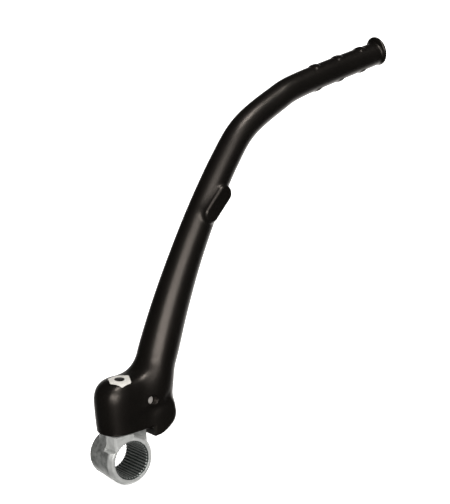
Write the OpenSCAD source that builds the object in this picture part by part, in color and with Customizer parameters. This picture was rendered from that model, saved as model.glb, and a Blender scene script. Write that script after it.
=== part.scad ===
// Folding kick-start lever: a serrated steel knuckle that clamps on a kick shaft, and a forged
// alloy lever that swings on the knuckle's upright post from its folded to its working position.
// Frame: Y is the kick shaft's axis (-Y points outward, away from the engine), Z is the swing
// axis's direction, and the folded pedal points to +X. The origin is on the kick shaft's axis,
// midway along the serrated bore. Units are millimetres.

/* [Knuckle ring] */
// Outer radius of the ring at its front edge
ring_r = 15; // [14.6:0.1:15.4]
// Outer radius of the ring at its back edge (the forging tapers)
ring_back_r = 13.6; // [13.2:0.1:14.2]
// Length of the ring along the kick shaft
ring_len = 24; // [23:0.5:25]
// Radius over the tips of the serrations
bore_r = 10.5; // [10:0.1:10.8]
// Depth of the serrations
tooth_depth = 0.9; // [0.6:0.1:1]
// Number of serrations
tooth_count = 38; // [36:1:40]

/* [Pivot] */
// Distance of the swing axis from the middle of the ring
pivot_x = 2; // [1.5:0.1:2.5]
// Radius of the pivot post
post_r = 8; // [7.6:0.1:8.2]
// Height of the table that the hub turns on
table_z = 15.6; // [15.5:0.1:15.8]
// Height of the top of the post
post_top_z = 40; // [39:0.5:40]
// Radius of the round part of the neck under the hub
neck_r = 13.6; // [13.4:0.1:13.8]
// Full swing of the lever from folded to working position, in degrees
swing = 105; // [100:1:105]

/* [Hub] */
// Radius of the rounded end of the hub
hub_r = 14.1; // [14:0.1:14.3]
// Depth of the hub each side of the swing axis
hub_half_depth = 13.5; // [13.3:0.1:14]
// How far the hub's rounded end swells above its rim
hub_swell = 0.7; // [0.5:0.1:1.2]
// Height of the top of the hub
hub_top_z = 46.5; // [46:0.5:48]
// Distance of the stop lobe's inner face from the swing axis
lobe_gap = 14.9; // [14.9:0.1:15.3]
// Height of the lowest point of the stop lobe
lobe_low_z = 10.4; // [10:0.1:11]

/* [Pedal] */
// Radius of the pedal where it leaves the bend
pedal_r = 7.45; // [7.2:0.05:7.6]
// Length of the pedal from the bend to the end flange
pedal_len = 60; // [58:1:61]
// Upward tilt of the pedal in degrees
pedal_tilt = 10.7; // [9:0.1:11]
// Radius of the end flange
flange_r = 8.85; // [8.5:0.05:9.2]
// Number of grip ribs round the pedal
rib_count = 3; // [2:1:4]

/* [Detent] */
// Radius of the detent ball
ball_r = 2.25; // [2:0.05:2.3]
// Distance of the ball from the swing axis
ball_track_r = 11.5; // [11.4:0.05:11.55]
// How much deeper the two end pockets are than the track
pocket_depth = 0.45; // [0.3:0.05:0.5]

/* [Hidden] */
eps = 0.01;

ring_front_y = -ring_len / 2;
ring_chamfer_r = 1.9;
ring_chamfer_len = 2.3;
ring_back_chamfer = 0.5;
bore_mouth_r = bore_r + tooth_depth + 0.4;
bore_mouth_len = 1.1;
tooth_pitch = 360 / tooth_count;

neck_floor_z = 7;
neck_shift = 0.5;
block_left_x = -10.6;
block_right_x = 2.5;
recess_x = 4;
recess_y = -9;
left_flat_x = -10.2;
left_flat_back_y = -3.3;
left_floor_z = 8;
left_top_z = table_z + 1;
stop_clearance = 0.06;

groove_r = 6.8;
pin_z = 32.3;
pin_r = 2.5;
groove_half_height = pin_r + 0.1;
pin_lean = 20;
pin_entry_x = pivot_x + 15;
pin_recess = 2.6;
pin_len = 19.5;
pin_mouth_r = 3.05;

bush_wall = 0.96;
bush_clearance = 0.04;
bush_r = post_r + bush_clearance + bush_wall;
lower_bush_z = 17.6;
lower_bush_len = 10;
upper_bush_z = 35.4;
upper_bush_len = 4.4;
seal_section_r = 0.42;
seal_z = 16.65;
disc_r = 7;
disc_len = 1.5;
disc_gap = 0.05;
hub_bottom_z = table_z + 0.25;
bore_end_z = post_top_z + disc_gap + disc_len + disc_gap;

track_depth = 0.4;
ball_clearance = 0.06;
ball_z = table_z + ball_r - track_depth;
ball_angle = 226;
ball_bore_r = ball_r + ball_clearance;
ball_bore_end_z = 28;
spring_wire_r = 0.3;
spring_coil_r = 1.7;
spring_turns = 6.5;

// Arm centreline stations in the plane Y = 0: [x, z, half width, half depth]
stations = [
  [25.5, 43, 10.8, 11.2],
  [30.5, 56, 11.8, 10.8],
  [41.5, 82, 11.0, 9.9],
  [54.5, 108.5, 9.9, 9.2],
  [69, 134, 9.1, 8.6],
  [86, 159.5, 8.4, 8.2],
  [101.5, 177.2, 8.1, 8.0],
  [125, 190, 7.8, 7.8],
  [146.4, 197.4, 7.5, 7.5],
  [158, 199.6, 7.35, 7.35]
];
pad_x = 72.8;
pad_z = 137.8;
pad_r = 5.1;
pad_half_len = 6.9;
pad_height = 10.4;
pad_bevel = 0.9;
pad_lean = 44.5;
pad_turn = 5;
arm_sides = 24;
rings_per_span = 3;
pedal_foot = [147, 0, 197.5];
pedal_end_r = pedal_r - 0.5;
rib_pitch = 18.05;
rib_first = 9.9;
rib_height = 0.6;
rib_half_width = 3;
rib_top_half_width = 1;
flange_rise = 1.3;
flange_lean = 6;
flange_taper = 1.3;
flange_rim = 1.2;
flange_crown = 1.4;

// Smooth curve through the stations (Catmull-Rom), at parameter t within span i
function spline(p0, p1, p2, p3, t) =
  0.5 * (2 * p1 + (p2 - p0) * t + (2 * p0 - 5 * p1 + 4 * p2 - p3) * t * t
         + (3 * p1 - p0 - 3 * p2 + p3) * t * t * t);
function station(i) = stations[max(0, min(len(stations) - 1, i))];
function along(i, t) = spline(station(i - 1), station(i), station(i + 1), station(i + 2), t);
function arm_rings() = [
  for (i = [0 : len(stations) - 2], k = [0 : rings_per_span - 1]) along(i, k / rings_per_span),
  station(len(stations) - 1)
];
// Points of one elliptical section, square to the centreline's direction d in the XZ plane
function section(s, d) = [
  for (k = [0 : arm_sides - 1])
    let (a = 360 * k / arm_sides)
    [s[0] - d[1] * s[2] * cos(a), -s[3] * sin(a), s[1] + d[0] * s[2] * cos(a)]
];
function unit(v) = v / norm(v);
// Radius of rib i, which follows the pedal's taper
function rib_r(i) =
  pedal_r + rib_height - (pedal_r - pedal_end_r) * (rib_first + i * rib_pitch) / pedal_len;

// Closed tube skinned over rings of points, all with the same number of points
module skin(rings) {
  n = len(rings[0]);
  m = len(rings);
  polyhedron(
    points = [for (r = rings) each r],
    faces = concat(
      [[for (k = [0 : n - 1]) k]],
      [for (j = [0 : m - 2], k = [0 : n - 1])
        [j * n + k, (j + 1) * n + k, (j + 1) * n + (k + 1) % n, j * n + (k + 1) % n]],
      [[for (k = [n - 1 : -1 : 0]) (m - 1) * n + k]]
    ),
    convexity = 6
  );
}

// Turns children's Z axis onto the kick shaft's axis, with height 0 at the ring's middle
module on_shaft() { rotate([-90, 0, 0]) children(); }

// Places children on the swing axis at height z
module on_pivot(z) { translate([pivot_x, 0, z]) children(); }

// Places children at the ball's place on its track, turned by an angle about the swing axis
module on_track(angle, z) {
  on_pivot(z) rotate([0, 0, angle]) translate([ball_track_r, 0, 0]) children();
}

// Places children on the pedal's axis, with Z pointing to its free end
module on_pedal() { translate(pedal_foot) rotate([0, 90 - pedal_tilt, 0]) children(); }

// Places children on the retaining pin's axis, with Z pointing into the hub
module on_pin() {
  translate([pin_entry_x, -hub_half_depth, pin_z])
    rotate([0, 0, pin_lean]) rotate([-90, 0, 0]) children();
}

module ring_solid() {
  front = -ring_len / 2;
  back = ring_len / 2;
  on_shaft() rotate_extrude($fn = 120) polygon([
    [0, front], [ring_r - ring_chamfer_r, front], [ring_r, front + ring_chamfer_len],
    [ring_back_r, back - ring_back_chamfer], [ring_back_r - ring_back_chamfer, back], [0, back]
  ]);
}

// Serrated bore: tooth tips lie on a true cylinder, with V grooves cut between them
module serrated_bore() {
  groove_half = bore_r * sin(tooth_pitch / 2) * 0.62;
  on_shaft() {
    translate([0, 0, -ring_len]) cylinder(r = bore_r, h = 2 * ring_len, $fn = 96);
    for (i = [0 : tooth_count - 1])
      rotate([0, 0, i * tooth_pitch])
        translate([0, 0, -ring_len]) linear_extrude(2 * ring_len) polygon([
          [bore_r - 0.4, -groove_half * 1.25], [bore_r + tooth_depth, -0.08],
          [bore_r + tooth_depth, 0.08], [bore_r - 0.4, groove_half * 1.25]
        ]);
    for (s = [-1, 1])
      translate([0, 0, s * (ring_len / 2 - bore_mouth_len / 2)])
        scale([1, 1, s])
          translate([0, 0, -bore_mouth_len / 2])
            cylinder(r1 = bore_r, r2 = bore_mouth_r + eps, h = bore_mouth_len + eps, $fn = 96);
  }
}

// Round neck under the hub, cut back at its front right where the lobe's trailing half passes
module neck() {
  difference() {
    on_pivot(neck_floor_z) translate([neck_shift, 0, 0])
      cylinder(r = neck_r, h = table_z - neck_floor_z, $fn = 96);
    translate([-30, -30 + recess_y, 0]) cube([60, 30, 30]);
    translate([-30, ring_len / 2, 0]) cube([60, 30, 30]);
  }
}

// Stop block flush with the ring's front; its corner facet meets the lobe at full swing
module stop_block() {
  difference() {
    translate([0, 0, neck_floor_z]) linear_extrude(table_z - neck_floor_z) polygon([
      [block_left_x, ring_front_y], [block_right_x, ring_front_y], [recess_x, recess_y],
      [recess_x, 0], [block_left_x, 0]
    ]);
    on_pivot(0) rotate([0, 0, -swing])
      translate([lobe_gap - stop_clearance, -30, 0]) cube([30, 60, 30]);
  }
}

// Track and end pockets for the detent ball, cut in the table
module ball_track() {
  groove_half = 1.5;
  floor_half = 1.1;
  on_pivot(table_z) rotate([0, 0, ball_angle - swing]) rotate_extrude(angle = swing, $fn = 96)
    translate([ball_track_r, 0]) polygon([
      [-groove_half, eps], [-floor_half, -track_depth - ball_clearance],
      [floor_half, -track_depth - ball_clearance], [groove_half, eps]
    ]);
  for (a = [ball_angle - swing, ball_angle])
    on_track(a, ball_z - pocket_depth) sphere(r = ball_bore_r, $fn = 48);
}

module post() {
  chamfer = 0.8;
  bottom_z = bore_r + 1.6;
  on_pivot(0) rotate_extrude($fn = 96) polygon([
    [0, bottom_z], [post_r, bottom_z], [post_r, pin_z - groove_half_height],
    [groove_r, pin_z - groove_half_height], [groove_r, pin_z + groove_half_height],
    [post_r, pin_z + groove_half_height], [post_r, post_top_z - chamfer],
    [post_r - chamfer, post_top_z], [0, post_top_z]
  ]);
}

module knuckle() {
  color([0.72, 0.72, 0.69]) difference() {
    union() {
      ring_solid();
      neck();
      stop_block();
      post();
    }
    serrated_bore();
    ball_track();
    translate([-30 + left_flat_x, -30 + left_flat_back_y, left_floor_z])
      cube([30, 30, left_top_z - left_floor_z]);
  }
}

module hub_body() {
  edge = 1.3;
  right_x = 26.5;
  // rounded body from the swing axis to the arm's root, flat on its front and back
  intersection() {
    hull() {
      on_pivot(hub_bottom_z) cylinder(r = hub_r - edge, h = eps, $fn = 40);
      on_pivot(hub_bottom_z + edge) cylinder(r = hub_r, h = eps, $fn = 40);
      on_pivot(30) cylinder(r = hub_r + hub_swell, h = 7.5, $fn = 40);
      on_pivot(hub_top_z - 5) cylinder(r = hub_r - 1.2, h = eps, $fn = 40);
      on_pivot(hub_top_z - 2) cylinder(r = hub_r - 4, h = eps, $fn = 40);
      on_pivot(hub_top_z) cylinder(r = hub_r - 8, h = eps, $fn = 40);
      for (s = [-1, 1]) {
        translate([right_x, s * (hub_half_depth - 8), 24]) sphere(r = 8, $fn = 28);
        translate([right_x, s * (hub_half_depth - 9), 42]) sphere(r = 8, $fn = 28);
      }
    }
    translate([-50, -hub_half_depth, 0]) cube([150, 2 * hub_half_depth, 100]);
  }
  // swelling from the hub's right side up into the arm
  hull() {
    translate([right_x - 1, 0, 34]) scale([1, 1.3, 1]) sphere(r = 9, $fn = 28);
    translate([30.5, 0, 56]) scale([1, 0.9, 1]) sphere(r = 11.4, $fn = 28);
    translate([14, 0, 43]) sphere(r = 4.5, $fn = 20);
  }
}

module stop_lobe() {
  inner_x = pivot_x + lobe_gap;
  outer_x = 35;
  hull() {
    for (s = [-1, 1]) {
      translate([inner_x, s * (hub_half_depth - 2) - 1, lobe_low_z]) cube([1, 2, 14]);
      translate([outer_x - 8, s * (hub_half_depth - 7), 22]) sphere(r = 8, $fn = 28);
      translate([outer_x - 10.5, s * (hub_half_depth - 6), 17.5]) sphere(r = 7, $fn = 24);
    }
  }
}

// Raised oval pad on the arm's outer side, leaning further over than the arm itself
module side_pad() {
  translate([pad_x, 0, pad_z]) rotate([0, pad_lean, 0]) rotate([90, 0, pad_turn]) hull() {
    for (s = [-1, 1]) translate([0, s * pad_half_len, 0]) {
      cylinder(r = pad_r, h = pad_height - pad_bevel, $fn = 32);
      cylinder(r = pad_r - pad_bevel, h = pad_height, $fn = 32);
    }
  }
}

// Grip ribs and the end flange stand nearly upright, so they lean outwards from the pedal's axis
module pedal() {
  on_pedal() {
    cylinder(r1 = pedal_r, r2 = pedal_end_r, h = pedal_len, $fn = 64);
    for (i = [0 : rib_count - 1])
      translate([0, 0, rib_first + i * rib_pitch]) rotate([0, pedal_tilt, 0])
        rotate_extrude($fn = 64) polygon([
          [0, -rib_half_width], [pedal_end_r - 0.4, -rib_half_width],
          [rib_r(i), -rib_top_half_width], [rib_r(i), rib_top_half_width],
          [pedal_end_r - 0.4, rib_half_width], [0, rib_half_width]
        ]);
    translate([-flange_rise, 0, pedal_len - 1.4]) rotate([0, flange_lean, 0])
      rotate_extrude($fn = 64) polygon([
        [0, 0], [flange_r - 2, 0], [flange_r, flange_taper], [flange_r, flange_taper + flange_rim],
        [flange_r - 2, flange_taper + flange_rim + flange_crown],
        [0, flange_taper + flange_rim + flange_crown]
      ]);
  }
}

module hub_hollows() {
  on_pivot(hub_bottom_z - 10) cylinder(r = bush_r, h = bore_end_z - hub_bottom_z + 10, $fn = 96);
  on_track(ball_angle, hub_bottom_z - 10)
    cylinder(r = ball_bore_r, h = ball_bore_end_z - hub_bottom_z + 10, $fn = 48);
  on_pin() {
    translate([0, 0, -10]) cylinder(r = pin_mouth_r, h = 10 + pin_recess, $fn = 48);
    cylinder(r = pin_r, h = pin_recess + pin_len, $fn = 48);
  }
}

module lever_arm() {
  rings = arm_rings();
  last = len(rings) - 1;
  color([0.07, 0.07, 0.07]) difference() {
    union() {
      hub_body();
      stop_lobe();
      side_pad();
      pedal();
      skin([
        for (j = [0 : last])
          let (p = rings[max(0, j - 1)], q = rings[min(last, j + 1)])
          section(rings[j], unit([q[0] - p[0], q[1] - p[1]]))
      ]);
    }
    hub_hollows();
  }
}

// Plain bronze bush pressed into the hub
module bush(z, length) {
  on_pivot(z) difference() {
    cylinder(r = bush_r, h = length, $fn = 96);
    translate([0, 0, -1]) cylinder(r = bush_r - bush_wall, h = length + 2, $fn = 96);
  }
}

module lower_bush() { color([0.66, 0.50, 0.26]) bush(lower_bush_z, lower_bush_len); }

module upper_bush() { color([0.66, 0.50, 0.26]) bush(upper_bush_z, upper_bush_len); }

// Rubber ring that keeps dirt out of the lower bush
module dust_seal() {
  color([0.05, 0.05, 0.05]) on_pivot(seal_z) rotate_extrude($fn = 96)
    translate([(post_r + bush_r) / 2, 0]) circle(r = seal_section_r, $fn = 32);
}

// Hardened disc between the top of the post and the blind end of the hub's bore
module thrust_disc() {
  color([0.55, 0.55, 0.57]) on_pivot(post_top_z + disc_gap)
    cylinder(r = disc_r, h = disc_len, $fn = 96);
}

// Cross pin that runs in the post's groove and keeps the lever on
module retaining_pin() {
  chamfer = 0.4;
  color([0.80, 0.80, 0.80]) on_pin() translate([0, 0, pin_recess]) rotate_extrude($fn = 48) polygon([
    [0, 0], [pin_r - chamfer, 0], [pin_r, chamfer], [pin_r, pin_len - chamfer],
    [pin_r - chamfer, pin_len], [0, pin_len]
  ]);
}

module detent_ball() {
  color([0.30, 0.31, 0.33]) on_track(ball_angle, ball_z) sphere(r = ball_r, $fn = 64);
}

// Round-wire compression spring between the ball and the end of its bore
module detent_spring() {
  seat_gap = 0.04;
  low = ball_z + sqrt(pow(ball_r + spring_wire_r + seat_gap, 2) - pow(spring_coil_r, 2));
  high = ball_bore_end_z - spring_wire_r - 0.05;
  steps = 12;
  sides = 8;
  total = spring_turns * steps;
  color([0.60, 0.60, 0.62]) on_track(ball_angle, low) skin([
    for (j = [0 : total])
      let (a = 360 * j / steps, z = (high - low) * j / total)
      [for (k = [sides - 1 : -1 : 0])
        let (b = 360 * k / sides, r = spring_coil_r + spring_wire_r * cos(b))
        [r * cos(a), r * sin(a), z + spring_wire_r * sin(b)]]
  ]);
}

knuckle();
lever_arm();
lower_bush();
upper_bush();
dust_seal();
thrust_disc();
retaining_pin();
detent_ball();
detent_spring();
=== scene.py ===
"""Folding kick-start lever: forged satin-black lever on a cast and machined steel knuckle.

Lengths in the shape functions are millimetres in the CAD frame: Y is the kick shaft's axis, Z the
swing axis's direction, and the folded pedal points to +X. Each organic piece is a distance field,
meshed by dual contouring, so that its fillets and its machined edges are real geometry.
"""

import math

import bpy
import numpy as np
from mathutils import Matrix, Vector


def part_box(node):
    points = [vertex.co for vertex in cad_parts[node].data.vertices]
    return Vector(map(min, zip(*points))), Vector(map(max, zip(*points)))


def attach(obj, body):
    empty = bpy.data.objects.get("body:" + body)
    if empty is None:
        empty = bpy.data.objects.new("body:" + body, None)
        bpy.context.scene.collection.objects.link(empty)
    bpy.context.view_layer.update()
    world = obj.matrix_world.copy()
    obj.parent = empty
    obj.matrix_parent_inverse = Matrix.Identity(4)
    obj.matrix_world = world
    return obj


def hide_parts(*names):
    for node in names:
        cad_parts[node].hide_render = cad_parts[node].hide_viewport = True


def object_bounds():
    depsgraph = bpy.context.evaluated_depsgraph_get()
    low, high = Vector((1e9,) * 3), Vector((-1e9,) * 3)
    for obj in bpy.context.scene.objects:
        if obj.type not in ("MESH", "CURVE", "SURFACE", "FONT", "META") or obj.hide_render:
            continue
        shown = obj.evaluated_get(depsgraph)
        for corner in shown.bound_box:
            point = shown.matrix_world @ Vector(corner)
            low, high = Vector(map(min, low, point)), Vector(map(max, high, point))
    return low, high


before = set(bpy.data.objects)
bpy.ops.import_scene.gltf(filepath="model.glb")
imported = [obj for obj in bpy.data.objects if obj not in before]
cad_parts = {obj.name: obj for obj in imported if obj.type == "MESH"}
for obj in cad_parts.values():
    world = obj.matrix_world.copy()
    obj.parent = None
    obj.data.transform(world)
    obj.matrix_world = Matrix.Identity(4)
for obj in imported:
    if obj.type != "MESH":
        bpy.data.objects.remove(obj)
CAD_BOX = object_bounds()

MM = 0.001


# ---------------------------------------------------------------- the frame's dimensions

def box_mm(node):
    """A node's lowest and highest corners in millimetres."""
    low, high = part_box(node)
    return np.array(low) / MM, np.array(high) / MM


def centre_mm(node):
    low, high = box_mm(node)
    return (low + high) / 2


BUSH_LOW, BUSH_HIGH = box_mm("lower_bush")
KNUCKLE_LOW, KNUCKLE_HIGH = box_mm("knuckle")
LEVER_LOW, LEVER_HIGH = box_mm("lever_arm")
DISC_HIGH = box_mm("thrust_disc")[1]
BALL_AT = centre_mm("detent_ball")
PIN_AT = centre_mm("retaining_pin")

BUSH_WALL = 1.0
BALL_GAP = 0.06
HUB_GAP = 0.25
DISC_GAP = 0.05

PIVOT_X = (BUSH_LOW[0] + BUSH_HIGH[0]) / 2
BUSH_R = (BUSH_HIGH[0] - BUSH_LOW[0]) / 2
POST_R = BUSH_R - BUSH_WALL
POST_TOP_Z = KNUCKLE_HIGH[2]
RING_R = -KNUCKLE_LOW[2]
RING_FRONT_Y = KNUCKLE_LOW[1]
RING_BACK_Y = KNUCKLE_HIGH[1]
BALL_R = (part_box("detent_ball")[1][2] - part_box("detent_ball")[0][2]) / MM / 2
BALL_BORE_R = BALL_R + BALL_GAP
TABLE_Z = 15.6
HUB_BOTTOM_Z = TABLE_Z + HUB_GAP
BORE_END_Z = DISC_HIGH[2] + DISC_GAP


# ---------------------------------------------------------------- distance-field tools

# Dual contouring, in cells: margin round the piece, pull towards a cell's mean point, and the
# farthest that a vertex may sit from it
GRID_MARGIN, MEAN_PULL, MAX_SHIFT = 2.3, 0.03, 0.7
NEAR_BLOCK = 0.9
POINTS_AT_ONCE = 200000
# A corner whose normal is farther than this from its face's is a sharp edge
SHARP_ANGLE = math.radians(28)


def smooth_min(a, b, k):
    """Union of two fields with a fillet of about radius k."""
    h = np.clip(0.5 + 0.5 * (b - a) / k, 0, 1)
    return b + (a - b) * h - k * h * (1 - h)


def smooth_max(a, b, k):
    """Intersection of two fields with an edge rounded to about radius k."""
    return -smooth_min(-a, -b, k)


def cut(a, b, k):
    """Field a with b taken out of it, its new edge rounded to about radius k."""
    return smooth_max(a, -b, k)


def smoothstep(t):
    """Smooth rise from 0 to 1 as t goes from 0 to 1."""
    t = np.clip(t, 0, 1)
    return t * t * (3 - 2 * t)


def rod(p, start, direction, r, length):
    """Flat-ended cylinder from start along a unit direction."""
    q = p - start
    along = q @ direction
    radial = np.linalg.norm(q - along[:, None] * direction, axis=1)
    return np.maximum(radial - r, np.abs(along - length / 2) - length / 2)


def half_space(p, point, normal):
    """Negative behind the plane through point with this outward normal."""
    n = np.array(normal, float)
    return (p - point) @ (n / np.linalg.norm(n))


def gradient(field, p, h=0.01):
    """Unit gradients of the field, by four samples at a tetrahedron's corners."""
    total = np.zeros_like(p)
    for corner in ((1, -1, -1), (-1, -1, 1), (-1, 1, -1), (1, 1, 1)):
        step = np.array(corner, float)
        total += step * field(p + step * h)[:, None]
    return total / np.maximum(np.linalg.norm(total, axis=1), 1e-12)[:, None]


def grid_values(field, low, cell, counts, block=5):
    """Field values on a grid, worked out finely only in the blocks that the surface may cross."""
    blocks = -(-counts // block)
    index = np.stack(np.meshgrid(*[np.arange(n) for n in blocks], indexing="ij"), -1).reshape(-1, 3)
    middle = low + (index * block + (block - 1) / 2) * cell
    rough = field(middle)
    values = rough.reshape(blocks)
    for axis in range(3):
        values = np.repeat(values, block, axis)
    near = np.abs(rough) < NEAR_BLOCK * np.linalg.norm(cell * block)
    offsets = np.stack(np.meshgrid(*[np.arange(block)] * 3, indexing="ij"), -1).reshape(-1, 3)
    nodes = (index[near][:, None] * block + offsets).reshape(-1, 3)
    for part in np.array_split(nodes, max(1, len(nodes) // POINTS_AT_ONCE)):
        values[tuple(part.T)] = field(low + part * cell)
    return values


def dual_contour(field, low, high, cell):
    """Vertices and quads of the field's zero surface, with its sharp edges kept."""
    cell = np.broadcast_to(np.array(cell, float), 3)
    low = np.array(low, float) - GRID_MARGIN * cell
    counts = np.ceil((np.array(high, float) - low) / cell).astype(int) + 3
    values = grid_values(field, low, cell, counts)
    inside = values < 0
    shape = np.array(values.shape)
    starts, quads_cells, flips = [], [], []
    for axis in range(3):
        ahead = np.roll(inside, -1, axis)
        changed = inside != ahead
        changed[tuple(slice(None) if a != axis else slice(-1, None) for a in range(3))] = False
        start = np.argwhere(changed)
        end = start.copy()
        end[:, axis] += 1
        v0 = values[tuple(start.T)]
        v1 = values[tuple(end.T)]
        t = v0 / (v0 - v1)
        point = low + start * cell
        point[:, axis] += t * cell[axis]
        b, c = (axis + 1) % 3, (axis + 2) % 3
        corners = []
        for db, dc in ((0, 0), (1, 0), (1, 1), (0, 1)):
            corner = start.copy()
            corner[:, b] -= db
            corner[:, c] -= dc
            corners.append(np.ravel_multi_index(tuple(corner.T), shape))
        starts.append(point)
        quads_cells.append(np.stack(corners, 1))
        flips.append(v0 < 0)
    point = np.concatenate(starts)
    cells = np.concatenate(quads_cells)
    flip = np.concatenate(flips)
    normal = gradient(field, point)
    ids, quads = np.unique(cells, return_inverse=True)
    quads = quads.reshape(cells.shape)
    where = quads.ravel()
    rows = np.repeat(np.arange(len(point)), 4)
    total = len(ids)

    def gather(value):
        return np.bincount(where, weights=value[rows], minlength=total)

    share = gather(np.ones(len(point)))
    mass = np.stack([gather(point[:, a]) for a in range(3)], 1) / share[:, None]
    offset = np.einsum("ij,ij->i", normal[rows], point[rows] - mass[where])
    ata = np.zeros((total, 3, 3))
    atb = np.zeros((total, 3))
    for a in range(3):
        atb[:, a] = np.bincount(where, weights=normal[rows, a] * offset, minlength=total)
        for b in range(3):
            ata[:, a, b] = gather(normal[:, a] * normal[:, b])
    ata += MEAN_PULL * np.eye(3)
    shift = np.linalg.solve(ata, atb[:, :, None])[:, :, 0]
    limit = MAX_SHIFT * cell
    vertices = mass + np.clip(shift, -limit, limit)
    quads = np.where(flip[:, None], quads, quads[:, ::-1])
    return vertices, quads


def mesh_piece(name, field, low, high, cell):
    """A Blender object for the field's surface, with the field's own normals at its corners."""
    vertices, quads = dual_contour(field, low, high, cell)
    mesh = bpy.data.meshes.new(name)
    mesh.from_pydata((vertices * MM).tolist(), [], quads.tolist())
    mesh.update()
    at_vertex = gradient(field, vertices)
    middle = vertices[quads].mean(1)
    at_face = gradient(field, middle)
    corner = at_vertex[quads]
    agrees = np.einsum("fci,fi->fc", corner, at_face) > math.cos(SHARP_ANGLE)
    corner = np.where(agrees[:, :, None], corner, at_face[:, None])
    mesh.polygons.foreach_set("use_smooth", np.ones(len(quads), bool))
    mesh.normals_split_custom_set(corner.reshape(-1, 3).tolist())
    piece = bpy.data.objects.new(name, mesh)
    bpy.context.scene.collection.objects.link(piece)
    return piece, vertices


# ---------------------------------------------------------------- the lever's shape

# Arm centreline in the plane Y = 0: x, z, half width, half depth
ARM = [
    (20.5, 30, 9.5, 11.4), (25.5, 43, 10.6, 12.0), (30.5, 56, 11.8, 11.7), (41.5, 82, 11.0, 10.4),
    (54.5, 108.5, 9.9, 9.2), (69, 134, 9.1, 8.6), (86, 159.5, 8.4, 8.2), (101.5, 177.2, 8.1, 8.0),
    (125, 190, 7.8, 7.8), (146.4, 197.4, 7.5, 7.5),
]
ARM_START_NORMAL = [-0.36, 0, -0.93]
ARM_LEAN = math.radians(25)
PEDAL_FOOT = np.array([147, 0, 197.5])
PEDAL_TILT = math.radians(10.7)
PEDAL_LEN = 60.0
PEDAL_END_R = 6.95
PEDAL_AXIS = np.array([math.cos(PEDAL_TILT), 0, math.sin(PEDAL_TILT)])
PEDAL_UP = np.array([-math.sin(PEDAL_TILT), 0, math.cos(PEDAL_TILT)])
RIB_FIRST, RIB_PITCH, RIB_COUNT = 9.9, 18.05, 3
RIB_HEIGHT, RIB_TOP, RIB_FOOT = 0.62, 0.8, 3.2
TREAD_FROM, TREAD_RUN = 0.70, 0.28
FLANGE_R, FLANGE_RISE, FLANGE_AT, FLANGE_RIM = 8.74, 1.3, 59.4, 1.1
FLANGE_LEAN, CROWN_R, CROWN_RISE = math.radians(4), 26.0, 3.2

HUB_R, HUB_MID_Z, HUB_DOME, HUB_POWER = 14.8, 32.0, 14.7, 2.6
HUB_DEPTH, HUB_TAPER, HUB_SKIRT = 12.95, 0.034, 16
HUB_REACH, HUB_NARROWING, HUB_LIFT, HUB_LIFT_RUN = 21.0, 1.9, 4.0, 22
LOBE_INNER_X = PIVOT_X + 14.9
LOBE_ROOT_X = PIVOT_X + 4
LOBE_CORNER_Z, LOBE_SLOPE = 10.3, math.radians(12)
LOBE_R, LOBE_ROUND_X = 10.2, 25.6
LOBE_ROOT_DEPTH, LOBE_DEPTH, LOBE_ROOT_LIFT = 11.2, 13.9, 0.9
CREASE_Z, CREASE_WIDTH, CREASE_DEPTH = 27.2, 2.6, 0.85
BALL_WALL, BALL_BORE_END_Z = 0.9, 28

PAD_AT = np.array([72.8, 0, 137.8])
PAD_R, PAD_HALF_LEN, PAD_HEIGHT, PAD_BEVEL = 5.1, 6.9, 10.4, 0.9
PAD_LEAN, PAD_TURN, PAD_FLARE = math.radians(44.5), math.radians(5), 0.12

PIN_LEAN = math.radians(20)
PIN_DIR = np.array([-math.sin(PIN_LEAN), math.cos(PIN_LEAN), 0])
PIN_LEN, PIN_R, PIN_MOUTH_R = 19.5, 2.5, 2.75

MARK_X, MARK_Y, MARK_TURN, MARK_STRETCH = 1.2, -3.0, math.radians(36), 1.1
MARK_FLAT_R, MARK_CORNER_R, MARK_HOLE_R, MARK_THICK = 5.9, 6.6, 2.9, 0.06


def centreline():
    """Samples of a Catmull-Rom curve through the arm's stations and the pedal's end."""
    end = PEDAL_FOOT + PEDAL_AXIS * (PEDAL_LEN + 4)
    stations = ARM + [(end[0], end[2], PEDAL_END_R, PEDAL_END_R)]
    s = np.array([stations[0]] + stations + [stations[-1]], float)
    t = np.linspace(0, 1, 24, endpoint=False)[:, None]
    spans = []
    for p0, p1, p2, p3 in zip(s, s[1:], s[2:], s[3:]):
        spans.append(0.5 * (2 * p1 + (p2 - p0) * t + (2 * p0 - 5 * p1 + 4 * p2 - p3) * t * t
                            + (3 * p1 - p0 - 3 * p2 + p3) * t ** 3))
    return np.concatenate(spans + [s[-1:]])


LINE = centreline()
COARSE = 12


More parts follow.
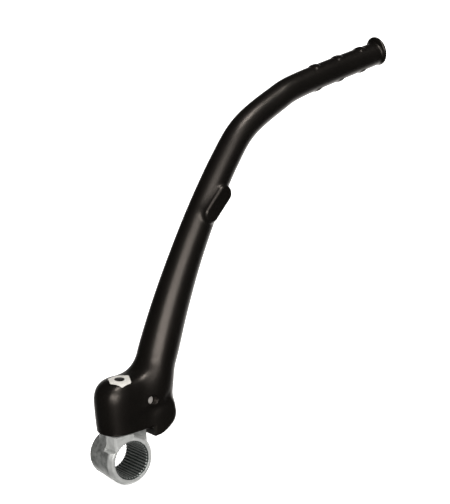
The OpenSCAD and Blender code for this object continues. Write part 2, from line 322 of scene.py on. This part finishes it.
def arm_coordinates(p):
    """Offset from the centreline in the plane of the arm, and the half width and depth there."""
    xz = p[:, [0, 2]]
    coarse = LINE[::COARSE, :2]
    first = ((xz[:, None] - coarse) ** 2).sum(2).argmin(1) * COARSE
    window = np.clip(first[:, None] + np.arange(-COARSE, COARSE + 1), 0, len(LINE) - 2)
    best = np.take_along_axis(
        window, ((xz[:, None] - LINE[window, :2]) ** 2).sum(2).argmin(1)[:, None], 1)[:, 0]
    nearest = np.full(len(p), np.inf)
    offset, half_w, half_d = (np.zeros(len(p)) for _ in range(3))
    for shift in (-1, 0):
        i = np.clip(best + shift, 0, len(LINE) - 2)
        a, b = LINE[i], LINE[i + 1]
        along = b[:, :2] - a[:, :2]
        length2 = (along ** 2).sum(1)
        t = ((xz - a[:, :2]) * along).sum(1) / length2
        open_end = np.where(i == len(LINE) - 2, np.inf, 1.0)
        t = np.clip(t, np.where(i == 0, -np.inf, 0.0), open_end)
        here = a + (b - a) * np.clip(t, 0, 1)[:, None]
        foot = a[:, :2] + along * t[:, None]
        gap = xz - foot
        far = np.linalg.norm(gap, axis=1)
        closer = far < nearest
        nearest = np.where(closer, far, nearest)
        offset = np.where(closer, far, offset)
        half_w = np.where(closer, here[:, 2], half_w)
        half_d = np.where(closer, here[:, 3], half_d)
    return offset, half_w, half_d


def arm_tube(p):
    """Oval arm and pedal along the centreline, with grip ribs on the pedal's top and underside."""
    offset, half_w, half_d = arm_coordinates(p)
    tread = smoothstep((offset / half_w - TREAD_FROM) / TREAD_RUN)
    rib = np.zeros(len(p))
    for i in range(RIB_COUNT):
        rib_x = PEDAL_FOOT[0] + (RIB_FIRST + i * RIB_PITCH) * PEDAL_AXIS[0]
        rib += smoothstep((RIB_FOOT - np.abs(p[:, 0] - rib_x)) / (RIB_FOOT - RIB_TOP))
    u, v = offset, p[:, 1]
    k0 = np.hypot(u / half_w, v / half_d)
    k1 = np.hypot(u / half_w ** 2, v / half_d ** 2)
    tube = k0 * (k0 - 1) / np.maximum(k1, 1e-9) - RIB_HEIGHT * rib * tread
    start = half_space(p, [ARM[0][0], 0, ARM[0][1]], ARM_START_NORMAL)
    end = (p - PEDAL_FOOT) @ PEDAL_AXIS - PEDAL_LEN
    return smooth_max(np.maximum(tube, start), end, 0.8)


def end_flange(p):
    """Thin round lip standing nearly upright on the pedal's end, with a low crown."""
    axis = PEDAL_AXIS * math.cos(FLANGE_LEAN) - PEDAL_UP * math.sin(FLANGE_LEAN)
    q = p - (PEDAL_FOOT + PEDAL_AXIS * FLANGE_AT + PEDAL_UP * FLANGE_RISE)
    along = q @ axis
    radial = np.linalg.norm(q - along[:, None] * axis, axis=1)
    rim = np.hypot(np.maximum(radial - (FLANGE_R - FLANGE_RIM), 0), along - FLANGE_RIM)
    rim = rim - FLANGE_RIM
    crown = np.hypot(radial, along - (CROWN_RISE - CROWN_R)) - CROWN_R
    plug = smooth_max(smooth_max(radial - (FLANGE_R - 1.2), crown, 0.8), -along, 0.5)
    return smooth_min(rim, plug, 0.5)


def hub_shell(p):
    """Rounded hub on the swing axis, carried over to the arm's root, without its flat bottom."""
    x, y, z = p.T
    t = np.clip((x - PIVOT_X) / HUB_REACH, 0, 1)
    plan = np.hypot(x - PIVOT_X - t * HUB_REACH, y)
    ratio = plan / (HUB_R - HUB_NARROWING * t)
    lift = HUB_LIFT * smoothstep((x - PIVOT_X - 2) / HUB_LIFT_RUN)
    high = np.maximum(z - lift - HUB_MID_Z, 0) / HUB_DOME
    low = np.maximum(HUB_MID_Z - z, 0) / HUB_SKIRT
    dome = (ratio ** HUB_POWER + high ** HUB_POWER) ** (1 / HUB_POWER) - 1
    body = (dome + HUB_TAPER * low ** 2) * HUB_R
    return smooth_max(body, np.abs(y) - HUB_DEPTH, 6.0)


def stop_lobe(p):
    """Ear below the hub's right side whose flat inner face meets the knuckle's stop block."""
    x, y, z = p.T
    along = np.array([math.cos(LOBE_SLOPE), 0, math.sin(LOBE_SLOPE)])
    down = np.array([math.sin(LOBE_SLOPE), 0, -math.cos(LOBE_SLOPE)])
    corner = np.array([LOBE_INNER_X, 0, LOBE_CORNER_Z])
    centre = corner + along * (LOBE_ROUND_X - LOBE_INNER_X) - down * LOBE_R
    q = p - centre
    profile = np.hypot(np.maximum(q @ along, 0), q @ down) - LOBE_R
    root = HUB_BOTTOM_Z + LOBE_ROOT_LIFT - z
    inner_face = np.maximum(np.minimum(LOBE_INNER_X - x, root), LOBE_ROOT_X - x)
    profile = smooth_max(profile, inner_face, 0.7)
    depth = LOBE_ROOT_DEPTH + (LOBE_DEPTH - LOBE_ROOT_DEPTH) * smoothstep((x - PIVOT_X - 5) / 18)
    rounding = 0.9 + 4.6 * smoothstep((x - LOBE_INNER_X - 3) / 9)
    return smooth_max(profile, np.abs(y) - depth, rounding)


def lobe_crease(p):
    """How much the shallow crease between the arm's root and the lobe takes away."""
    x, y, z = p.T
    crease_z = CREASE_Z + 0.17 * (x - LOBE_INNER_X)
    band = np.exp(-((z - crease_z) / CREASE_WIDTH) ** 2 / 2)
    return CREASE_DEPTH * band * smoothstep((x - PIVOT_X - 7) / 12) * smoothstep((np.abs(y) - 5) / 7)


def side_pad(p):
    """Raised oval pad on the arm's outer side."""
    lean = Matrix.Rotation(PAD_LEAN, 3, "Y")
    turn = Matrix.Rotation(PAD_TURN, 3, "Z")
    axes = np.array(lean @ turn @ Matrix.Rotation(math.pi / 2, 3, "X"))
    q = (p - PAD_AT) @ axes
    span = np.abs(q[:, 1]) - PAD_HALF_LEN
    edge = np.hypot(q[:, 0], np.maximum(span, 0)) - PAD_R
    top = q[:, 2] - PAD_HEIGHT
    bevel = (edge + top + PAD_BEVEL) * math.sqrt(0.5)
    flare = edge - PAD_FLARE * np.maximum(-top, 0)
    body = smooth_max(smooth_max(flare, top, 0.15), bevel, 0.35)
    return np.maximum(body, -q[:, 2])


def lever_hollows(p):
    """The hub's blind bore, the ball's bore and the retaining pin's hole."""
    up = np.array([0, 0, 1.0])
    start_z = HUB_BOTTOM_Z - 10
    bore = rod(p, np.array([PIVOT_X, 0, start_z]), up, BUSH_R, BORE_END_Z - start_z)
    widening = np.maximum(HUB_BOTTOM_Z + 0.5 - p[:, 2], 0)
    lead = np.hypot(p[:, 0] - PIVOT_X, p[:, 1]) - BUSH_R - widening
    bore = np.minimum(bore, np.maximum(lead, p[:, 2] - HUB_BOTTOM_Z - 1))
    ball_start = np.array([BALL_AT[0], BALL_AT[1], start_z])
    ball = rod(p, ball_start, up, BALL_BORE_R, BALL_BORE_END_Z - start_z)
    return bore, ball, pin_hole(p)


def pin_hole(p):
    """Stepped hole that the retaining pin is pressed into."""
    start = PIN_AT - PIN_DIR * PIN_LEN / 2
    mouth = rod(p, start - PIN_DIR * 15, PIN_DIR, PIN_MOUTH_R, 15)
    deep = rod(p, start - PIN_DIR, PIN_DIR, PIN_R, PIN_LEN + 1)
    return np.minimum(mouth, deep)


def lever_skin(p):
    """The whole lever before its bores, and the hub's own side alone."""
    shell = hub_shell(p)
    hub = smooth_min(shell, arm_tube(p), 7.0)
    hub = smooth_max(hub, HUB_BOTTOM_Z - p[:, 2], 0.6)
    fillet = 1.1 + 5.0 * smoothstep((p[:, 0] - 25) / 7) * smoothstep((p[:, 2] - 20) / 8)
    body = smooth_min(hub, stop_lobe(p), fillet) + lobe_crease(p)
    body = smooth_max(body, np.abs(p[:, 1]) - LEVER_HIGH[1] + 0.1, 1.5)
    body = smooth_min(body, side_pad(p), 2.4)
    return smooth_min(body, end_flange(p), 1.6), shell


def lever_field(p):
    """The lever with its bores. The ball's bore leaves BALL_WALL of the hub's side standing, and the
    ball and its spring cut a little into that wall, out of sight inside the hub."""
    body, shell = lever_skin(p)
    bore, ball, pin = lever_hollows(p)
    body = cut(body, bore, 0.25)
    body = cut(body, np.maximum(ball, shell + BALL_WALL), 0.25)
    return cut(body, pin, 0.4)


# ---------------------------------------------------------------- the knuckle's shape

RING_BACK_R = 13.6
BORE_R, TOOTH_DEPTH, TOOTH_COUNT = 10.5, 0.9, 38
CHAMFER_IN, CHAMFER_BACK = 1.9, 2.3
NECK_R, NECK_SHIFT, NECK_FLOOR_Z = 13.6, 0.5, 7.0
RECESS_X, RECESS_Y = 4.0, -9.0
BLOCK_LEFT_X, BLOCK_RIGHT_X = -10.6, 2.5
LEFT_FLAT_X, LEFT_FLAT_BACK_Y, LEFT_FLOOR_Z = -10.2, -3.3, 7.0
CORNER_CHAMFER = 0.9
GROOVE_R, GROOVE_HALF_HEIGHT = 6.8, 2.6
TRACK_HALF_WIDTH, TRACK_DEPTH = 1.3, 0.46
POCKET_DROP, POCKET_GAP = 0.5, 0.14
SWING = math.radians(105)
STOP_REACH = 14.9 - 0.06
CAST_WAVES = (0.9, 1.3, 1.9, 2.7, 3.6)
CAST_RIPPLE = 0.09


def ring_body(p):
    """Ring round the kick shaft, tapered to the back and chamfered in front."""
    x, y, z = p.T
    r = np.hypot(x, z)
    t = (y - RING_FRONT_Y - CHAMFER_BACK) / (RING_BACK_Y - RING_FRONT_Y - CHAMFER_BACK)
    outer = r - (RING_R + (RING_BACK_R - RING_R) * np.clip(t, 0, 1))
    edge = [RING_R - CHAMFER_IN, RING_FRONT_Y, 0]
    chamfer = half_space(np.stack([r, y, z * 0], 1), edge, [CHAMFER_BACK, -CHAMFER_IN, 0])
    body = smooth_max(outer, chamfer, 0.3)
    body = smooth_max(body, RING_FRONT_Y - y, 0.15)
    return smooth_max(body, y - RING_BACK_Y, 1.0)


def neck_body(p):
    """Round neck under the hub, and the stop block in front of it."""
    x, y, z = p.T
    round_part = np.hypot(x - PIVOT_X - NECK_SHIFT, y) - NECK_R
    round_part = smooth_max(round_part, RECESS_Y - y, 0.5)
    round_part = smooth_max(round_part, y - RING_BACK_Y, 0.5)
    corner = half_space(p, [BLOCK_RIGHT_X, RING_FRONT_Y, 0],
                        [RING_FRONT_Y * -1 + RECESS_Y, -(RECESS_X - BLOCK_RIGHT_X), 0])
    block = smooth_max(BLOCK_LEFT_X - x, RING_FRONT_Y - y, 0.4)
    block = smooth_max(smooth_max(block, x - RECESS_X, 0.3), corner, 0.4)
    block = np.maximum(block, y)
    turn = np.array([math.cos(SWING), -math.sin(SWING), 0])
    stop = half_space(p, np.array([PIVOT_X, 0, 0]) + turn * STOP_REACH, turn)
    block = smooth_max(block, stop, 0.3)
    both = smooth_min(round_part, block, 0.6)
    both = smooth_max(both, z - TABLE_Z, 0.35)
    return np.maximum(both, NECK_FLOOR_Z - z)


def post_body(p):
    """Pivot post with the groove that the retaining pin runs in."""
    z = p[:, 2]
    r = np.hypot(p[:, 0] - PIVOT_X, p[:, 1])
    groove = np.maximum(GROOVE_R - r, np.abs(z - PIN_AT[2]) - GROOVE_HALF_HEIGHT)
    body = cut(smooth_max(r - POST_R, z - POST_TOP_Z, 1.2), groove, 0.3)
    return np.maximum(body, BORE_R + 1.6 - z)


def serrations(p):
    """The bore with its serrations, widened at both mouths."""
    x, y, z = p.T
    r = np.hypot(x, z)
    pitch = 2 * math.pi / TOOTH_COUNT
    turn = np.arctan2(z, x) / pitch
    wave = np.abs(turn - np.round(turn)) * 2
    floor = BORE_R + TOOTH_DEPTH * np.clip(1.12 - 1.5 * wave, 0, 1)
    bore = (r - floor) * 0.72
    end = np.minimum(y - RING_FRONT_Y, RING_BACK_Y - y)
    lead = (r - (BORE_R + 1.3) + np.maximum(end, -0.5)) * 0.7
    return np.minimum(bore, lead)


def ball_track(p):
    """Shallow track of the detent ball on the table, with a pocket at each end."""
    x, y, z = p.T
    r = np.hypot(x - PIVOT_X, y)
    track_r = math.hypot(BALL_AT[0] - PIVOT_X, BALL_AT[1])
    rest = math.atan2(BALL_AT[1], BALL_AT[0] - PIVOT_X)
    end = rest - SWING
    middle = (rest + end) / 2
    angle = np.arctan2(y, x - PIVOT_X) - middle
    angle = np.abs((angle + math.pi) % (2 * math.pi) - math.pi)
    across = np.abs(r - track_r) - TRACK_HALF_WIDTH
    deep = TABLE_Z - TRACK_DEPTH - z
    track = np.maximum(np.maximum(across, deep), (angle - SWING / 2) * track_r)
    pocket_z = BALL_AT[2] - POCKET_DROP
    for a in (rest, end):
        at = np.array([PIVOT_X + track_r * math.cos(a), track_r * math.sin(a), pocket_z])
        track = np.minimum(track, np.linalg.norm(p - at, axis=1) - BALL_R - POCKET_GAP)
    return track


def cast_noise(p):
    """Low ripple of the cast skin, as a sum of a few skewed waves."""
    total = np.zeros(len(p))
    rng = np.random.default_rng(7)
    for wave in CAST_WAVES:
        for _ in range(3):
            d = rng.normal(size=3)
            d /= np.linalg.norm(d)
            total += np.sin(p @ d * wave + rng.uniform(0, 6.28)) / wave
    return total / 6


def cast_skin_and_shade_share(p):
    """1 on the knuckle's rough cast skin, 0.3 on the front chamfer, 0 on its machined faces. The 0.3
    step also darkens the neck's faces under the hub as painted shade.
    """
    x, y, z = p.T
    r = np.hypot(x, z)
    behind = y - RING_FRONT_Y
    # The first, 0.3 step tones the front chamfer and paints shade on the neck under the hub
    skin = 0.3 * smoothstep((behind - 0.2) / 0.5) + 0.7 * smoothstep((behind - 2.6) / 0.8)
    skin *= smoothstep((r - 13.1) / 0.6) * smoothstep((TABLE_Z - 0.1 - z) / 0.3)
    flat = (x < LEFT_FLAT_X + 0.35) & (y < LEFT_FLAT_BACK_Y + 0.3) & (z > LEFT_FLOOR_Z - 0.3)
    return np.where(flat, 0.0, skin)


def bore_shade_share(p):
    """Painted shade in the bore: 1 in the roots of its serrations, less on their tips, 0 outside the
    bore.
    """
    r = np.hypot(p[:, 0], p[:, 2])
    root = smoothstep((r - BORE_R - 0.2) / 0.35)
    tip = 0.66 * smoothstep((p[:, 1] - RING_FRONT_Y - 0.8) / 0.6)
    return np.where(r < BORE_R + TOOTH_DEPTH + 0.12, tip + (1 - tip) * root, 0.0)


def knuckle_field(p):
    """Ring, neck and post, with the bore, the ball's track and the left flat cut into them."""
    body = smooth_min(ring_body(p), neck_body(p), 0.9)
    body = body - CAST_RIPPLE * cast_noise(p) * cast_skin_and_shade_share(p)
    body = smooth_min(body, post_body(p), 0.5)
    body = cut(body, serrations(p), 0.12)
    body = cut(body, ball_track(p), 0.1)
    side = np.maximum(p[:, 0] - LEFT_FLAT_X, p[:, 1] - LEFT_FLAT_BACK_Y)
    corner = half_space(p, [LEFT_FLAT_X + CORNER_CHAMFER, RING_FRONT_Y, 0], [1, 1, 0])
    left = np.maximum(np.minimum(side, corner), LEFT_FLOOR_Z - p[:, 2])
    return cut(body, left, 0.12)


# ---------------------------------------------------------------- materials

def new_material(name):
    material = bpy.data.materials.new(name)
    material.use_nodes = True
    tree = material.node_tree
    return material, tree, tree.nodes["Principled BSDF"]


def add(tree, kind, links=(), **values):
    """Adds a node, sets its properties and inputs, and links (output socket, input name) pairs."""
    node = tree.nodes.new(kind)
    for key, value in values.items():
        if hasattr(node, key):
            setattr(node, key, value)
        else:
            node.inputs[key.replace("_", " ")].default_value = value
    for socket, name in links:
        tree.links.new(socket, node.inputs[name])
    return node


def coordinates(tree):
    """The object's own coordinates, which are the frame's, in metres."""
    return tree.nodes.new("ShaderNodeTexCoord").outputs["Object"]


def noise(tree, where, scale, detail=3.0, roughness=0.55):
    """Noise value, its scale in cells per metre."""
    node = add(tree, "ShaderNodeTexNoise", [(where, "Vector")], Scale=scale, Detail=detail)
    node.inputs["Roughness"].default_value = roughness
    return node.outputs["Fac"]


def ramp(tree, value, stops):
    """Colour ramp over a value, with stops as (position, colour)."""
    node = add(tree, "ShaderNodeValToRGB", [(value, "Fac")])
    band = node.color_ramp
    while len(band.elements) < len(stops):
        band.elements.new(0.5)
    for element, (at, colour) in zip(band.elements, stops):
        element.position = at
        element.color = (*colour, 1)
    return node.outputs["Color"]


def remap(tree, value, low, high, from_low=0.0, from_high=1.0):
    """A value's range, from_low to from_high, carried over to low to high."""
    node = add(tree, "ShaderNodeMapRange", [(value, "Value")])
    node.inputs["From Min"].default_value = from_low
    node.inputs["From Max"].default_value = from_high
    node.inputs["To Min"].default_value = low
    node.inputs["To Max"].default_value = high
    return node.outputs["Result"]


def mix(tree, share, a, b):
    """Colour mix of two sockets or colours by a share socket."""
    node = tree.nodes.new("ShaderNodeMix")
    node.data_type = "RGBA"
    tree.links.new(share, node.inputs["Factor"])
    a_in, b_in = [s for s in node.inputs if s.type == "RGBA"]
    for socket, value in ((a_in, a), (b_in, b)):
        if isinstance(value, bpy.types.NodeSocket):
            tree.links.new(value, socket)
        else:
            socket.default_value = (*value, 1)
    return [s for s in node.outputs if s.type == "RGBA"][0]


def bump(tree, height, strength, distance, normal=None):
    """Bump from a height, on top of another bump's normal if there is one."""
    node = add(tree, "ShaderNodeBump", [(height, "Height")], Strength=strength, Distance=distance)
    if normal is not None:
        tree.links.new(normal, node.inputs["Normal"])
    return node.outputs["Normal"]


def grey(v, warm=0.0):
    """A grey of brightness v, with red raised and blue lowered by the share warm."""
    return (v * (1 + warm), v, v * (1 - warm))


def black_anodised():
    """Satin black skin with a very fine grain, a little browner and lighter on sharp edges."""
    material, tree, shader = new_material("black_anodised")
    at = coordinates(tree)
    broad = noise(tree, at, 55)
    fine = noise(tree, at, 1150, detail=2)
    pointed = tree.nodes.new("ShaderNodeNewGeometry").outputs["Pointiness"]
    tone = ramp(tree, broad, [(0.3, (0.0012, 0.0010, 0.0008)), (0.7, (0.0020, 0.0017, 0.0013))])
    worn = remap(tree, pointed, 0, 1, 0.57, 0.68)
    patches = noise(tree, at, 420)
    patchy = add(tree, "ShaderNodeMath", [(worn, 0), (patches, 1)], operation="MULTIPLY")
    edge_tone = mix(tree, patchy.outputs[0], tone, (0.020, 0.017, 0.014))
    tree.links.new(edge_tone, shader.inputs["Base Color"])
    tree.links.new(remap(tree, broad, 0.33, 0.39), shader.inputs["Roughness"])
    tree.links.new(bump(tree, fine, 0.55, 0.00007), shader.inputs["Normal"])
    shader.inputs["Specular IOR Level"].default_value = 0.7
    shader.inputs["Specular Tint"].default_value = (1.0, 0.90, 0.82, 1)
    return material


def plated_steel():
    """Zinc-grey steel: mottled and dark on the cast skin, lighter where machined, with painted shade
    in the bore.
    """
    material, tree, shader = new_material("plated_steel")
    at = coordinates(tree)
    cast = add(tree, "ShaderNodeAttribute", attribute_name="cast").outputs["Fac"]
    mottle = noise(tree, at, 260, detail=5, roughness=0.62)
    grain = noise(tree, at, 1900, detail=3)
    machined = ramp(tree, mottle, [(0.3, (0.40, 0.41, 0.40)), (0.7, (0.55, 0.56, 0.55))])
    rough_skin = ramp(tree, mottle, [(0.30, (0.075, 0.078, 0.075)), (0.70, (0.27, 0.28, 0.27))])
    # The bore mask paints shade into the bore, darkest in the roots of the serrations
    bore = add(tree, "ShaderNodeAttribute", attribute_name="bore").outputs["Fac"]
    # The darker cast tone is rough cast skin, and painted shade on the neck under the hub
    outside = mix(tree, cast, machined, rough_skin)
    # Dark green-grey painted shade in the bore
    tree.links.new(mix(tree, bore, outside, (0.030, 0.040, 0.037)), shader.inputs["Base Color"])
    shader.inputs["Metallic"].default_value = 0.55
    tree.links.new(remap(tree, grain, 0.30, 0.42), shader.inputs["Roughness"])
    pits = bump(tree, grain, 0.35, 0.00012)
    tree.links.new(bump(tree, mottle, 0.3, 0.0003, pits), shader.inputs["Normal"])
    return material


def turned_metal(name, light, dark, roughness, metallic=1.0):
    """Inner part's finish with fine mottling and grain."""
    material, tree, shader = new_material(name)
    at = coordinates(tree)
    broad = noise(tree, at, 180)
    fine = noise(tree, at, 2700, detail=2)
    tree.links.new(ramp(tree, broad, [(0.3, dark), (0.7, light)]), shader.inputs["Base Color"])
    shader.inputs["Metallic"].default_value = metallic
    tree.links.new(remap(tree, fine, roughness * 0.8, roughness * 1.25), shader.inputs["Roughness"])
    tree.links.new(bump(tree, fine, 0.12, 0.00004), shader.inputs["Normal"])
    return material


def print_white():
    """Pad-printed white ink, a little uneven and worn through in specks."""
    material, tree, shader = new_material("print_white")
    at = coordinates(tree)
    tone = ramp(tree, noise(tree, at, 700), [(0.3, (0.44, 0.43, 0.40)), (0.7, (0.54, 0.53, 0.50))])
    specks = remap(tree, noise(tree, at, 2600, detail=2), 0, 1, 0.66, 0.74)
    tree.links.new(mix(tree, specks, tone, (0.06, 0.055, 0.05)), shader.inputs["Base Color"])
    shader.inputs["Roughness"].default_value = 0.5
    shader.inputs["Specular IOR Level"].default_value = 0.2
    return material


def paint(piece, material):
    piece.data.materials.clear()
    piece.data.materials.append(material)


def paint_node(name, material):
    """Gives a CAD node's object a new material through its slots."""
    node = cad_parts[name]
    for slot in node.material_slots:
        slot.link = "OBJECT"
        slot.material = material


# ---------------------------------------------------------------- pieces

LEVER_CELL = 0.65
KNUCKLE_CELL = (0.3, 0.5, 0.3)
MARK_STEPS, MARK_ACROSS = 96, 7


def make_lever():
    piece, _ = mesh_piece("lever_forging", lever_field, LEVER_LOW, LEVER_HIGH, LEVER_CELL)
    paint(piece, black_anodised())
    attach(piece, "lever")
    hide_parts("lever_arm")


def skin_height(x, y):
    """Height of the lever's upper skin over a point of the hub, by bisection."""
    low = np.full(x.shape, HUB_MID_Z)
    high = np.full(x.shape, HUB_MID_Z + HUB_DOME + 12)
    for _ in range(24):
        middle = (low + high) / 2
        inside = lever_skin(np.stack([x, y, middle], 1))[0] < 0
        low = np.where(inside, middle, low)
        high = np.where(inside, high, middle)
    return low


def mark_plan():
    """Plan positions over the mark, a plain hexagon with a round hole."""
    turns = np.arange(MARK_STEPS) * 2 * math.pi / MARK_STEPS
    turn, t = np.meshgrid(turns, np.linspace(0, 1, MARK_ACROSS), indexing="ij")
    sixth = math.pi / 3
    outer = MARK_FLAT_R / np.cos((turn + sixth / 2) % sixth - sixth / 2)
    outer = np.minimum(outer, MARK_CORNER_R)
    r = MARK_HOLE_R + (outer - MARK_HOLE_R) * t
    turn = turn + MARK_TURN
    plan = np.stack([r * np.cos(turn), r * np.sin(turn) * MARK_STRETCH], -1)
    return plan.reshape(-1, 2) + np.array([MARK_X, MARK_Y])


def make_mark():
    """Printed mark on the hub, a thin closed sheet that follows the dome."""
    plan = mark_plan()
    skin = np.column_stack([plan, skin_height(plan[:, 0], plan[:, 1])])
    out = gradient(lambda p: lever_skin(p)[0], skin)
    grid = np.arange(MARK_STEPS * MARK_ACROSS).reshape(MARK_STEPS, MARK_ACROSS)
    ahead = np.roll(grid, -1, 0)
    cells = np.stack([grid[:, :-1], grid[:, 1:], ahead[:, 1:], ahead[:, :-1]], -1).reshape(-1, 4)
    under = grid + grid.size
    under_ahead = ahead + grid.size
    walls = [np.stack([grid[:, -1], under[:, -1], under_ahead[:, -1], ahead[:, -1]], 1),
             np.stack([grid[:, 0], ahead[:, 0], under_ahead[:, 0], under[:, 0]], 1)]
    faces = np.concatenate([cells, cells[:, ::-1] + grid.size] + walls)
    points = np.concatenate([skin + out * MARK_THICK, skin - out * MARK_THICK])
    mesh = bpy.data.meshes.new("hub_mark")
    mesh.from_pydata((points * MM).tolist(), [], faces.tolist())
    mesh.update()
    piece = bpy.data.objects.new("hub_mark", mesh)
    bpy.context.scene.collection.objects.link(piece)
    paint(piece, print_white())
    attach(piece, "lever")


def make_knuckle():
    piece, vertices = mesh_piece("knuckle_casting", knuckle_field, KNUCKLE_LOW, KNUCKLE_HIGH,
                                 KNUCKLE_CELL)
    for name, share in (("cast", cast_skin_and_shade_share), ("bore", bore_shade_share)):
        attribute = piece.data.attributes.new(name, "FLOAT", "POINT")
        attribute.data.foreach_set("value", share(vertices).astype(np.float32))
    paint(piece, plated_steel())
    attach(piece, "knuckle_side")
    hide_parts("knuckle")


def paint_inner_nodes():
    """New materials for the CAD nodes that keep their own shape."""
    bronze = turned_metal("bronze", (0.58, 0.38, 0.17), (0.44, 0.28, 0.12), 0.35)
    hard = turned_metal("hard_steel", grey(0.50), grey(0.36), 0.28)
    bright = turned_metal("bright_steel", grey(0.50, 0.05), grey(0.36, 0.05), 0.35, metallic=0.5)
    ball = turned_metal("ball_steel", grey(0.50), grey(0.40), 0.08)
    rubber = turned_metal("seal_rubber", grey(0.02), grey(0.012), 0.55, metallic=0.0)
    for name, material in (("lower_bush", bronze), ("upper_bush", bronze), ("thrust_disc", hard),
                           ("detent_spring", hard), ("retaining_pin", bright),
                           ("detent_ball", ball), ("dust_seal", rubber)):
        paint_node(name, material)


# ---------------------------------------------------------------- stage, light and camera

FLOOR_HALF = 14.0
FLOOR_GLOW = 0.75
WARM_WHITE = (1, 0.98, 0.96)
FAN_TURNS, FAN_STRENGTH, FAN_SIZE = (20, 36, 52), 0.54, 15
WORLD_STRENGTH = 0.9
# What reflections see: the room's and the table's brightness, where the table is, and its edge's
# start and end as cosines from that direction
ROOM, TABLE_BRIGHT = 0.025, 1.8
TABLE_TOWARDS = (0.62, 0.66, -0.42)
TABLE_EDGE = (0.62, 0.98)
LENS = 121.43
CAMERA_AT = (-482.07, -797.99, 338.02)
CAMERA_RIGHT = (0.80655, -0.58812, -0.05990)
CAMERA_UP = (0.18370, 0.15303, 0.97100)


def make_floor():
    """Plain pale floor, a little bright of itself, and left out of reflections."""
    mesh = bpy.data.meshes.new("floor")
    a, z = FLOOR_HALF, CAD_BOX[0][2]
    mesh.from_pydata([(-a, -a, z), (a, -a, z), (a, a, z), (-a, a, z)], [], [(0, 1, 2, 3)])
    floor = bpy.data.objects.new("floor", mesh)
    bpy.context.scene.collection.objects.link(floor)
    material, tree, shader = new_material("floor")
    tone = ramp(tree, noise(tree, coordinates(tree), 8), [(0.3, grey(0.90)), (0.7, grey(0.92))])
    tree.links.new(tone, shader.inputs["Base Color"])
    shader.inputs["Roughness"].default_value = 0.9
    shader.inputs["Specular IOR Level"].default_value = 0.1
    shader.inputs["Emission Color"].default_value = (1, 1, 1, 1)
    shader.inputs["Emission Strength"].default_value = FLOOR_GLOW
    paint(floor, material)
    floor.visible_glossy = False


def make_sun(name, towards, strength, size):
    """A soft distant light from the direction given, its size in degrees."""
    light = bpy.data.lights.new(name, "SUN")
    light.energy = strength
    light.angle = math.radians(size)
    light.color = WARM_WHITE
    lamp = bpy.data.objects.new(name, light)
    lamp.rotation_euler = Vector(towards).to_track_quat("Z", "Y").to_euler()
    bpy.context.scene.collection.objects.link(lamp)


def make_front_lights():
    """A fan of soft lights square to the lower arm, so that a broad sheen runs along it."""
    front = Vector((0, -1, 0))
    across = Vector((-math.cos(ARM_LEAN), 0, math.sin(ARM_LEAN)))
    for i, degrees in enumerate(FAN_TURNS):
        turn = math.radians(degrees)
        towards = front * math.cos(turn) + across * math.sin(turn)
        make_sun("front_%d" % i, towards, FAN_STRENGTH, FAN_SIZE)


def make_world():
    """White light all round. Reflections see a dark room and the bright table behind the lever."""
    world = bpy.data.worlds.new("studio")
    bpy.context.scene.world = world
    world.use_nodes = True
    tree = world.node_tree
    background = tree.nodes["Background"]
    background.inputs["Color"].default_value = (*WARM_WHITE, 1)
    direction = tree.nodes.new("ShaderNodeTexCoord").outputs["Generated"]
    table = add(tree, "ShaderNodeVectorMath", [(direction, 0)], operation="DOT_PRODUCT")
    table.inputs[1].default_value = TABLE_TOWARDS
    reflected = remap(tree, table.outputs["Value"], ROOM, TABLE_BRIGHT, *TABLE_EDGE)
    glossy = tree.nodes.new("ShaderNodeLightPath").outputs["Is Glossy Ray"]
    strength = add(tree, "ShaderNodeMix", [(glossy, "Factor"), (reflected, "B")])
    strength.inputs["A"].default_value = WORLD_STRENGTH
    tree.links.new(strength.outputs["Result"], background.inputs["Strength"])


def make_camera():
    camera = bpy.data.cameras.new("camera")
    camera.lens = LENS
    camera.sensor_fit = "VERTICAL"
    camera.sensor_height = 36
    camera.clip_end = 100
    eye = bpy.data.objects.new("camera", camera)
    bpy.context.scene.collection.objects.link(eye)
    right = Vector(CAMERA_RIGHT)
    up = Vector(CAMERA_UP)
    back = right.cross(up)
    turn = Matrix((right, up, back)).transposed().to_4x4()
    eye.matrix_world = Matrix.Translation(Vector(CAMERA_AT) * MM) @ turn
    bpy.context.scene.camera = eye


make_camera()
make_world()
make_front_lights()
make_sun("middle", (-0.20, -0.76, 0.62), 0.15, 20)
make_sun("top", (-0.12, -0.47, 0.87), 1.15, 14)
make_floor()
make_lever()
make_mark()
make_knuckle()
paint_inner_nodes()
bpy.context.scene.view_settings.view_transform = "Standard"
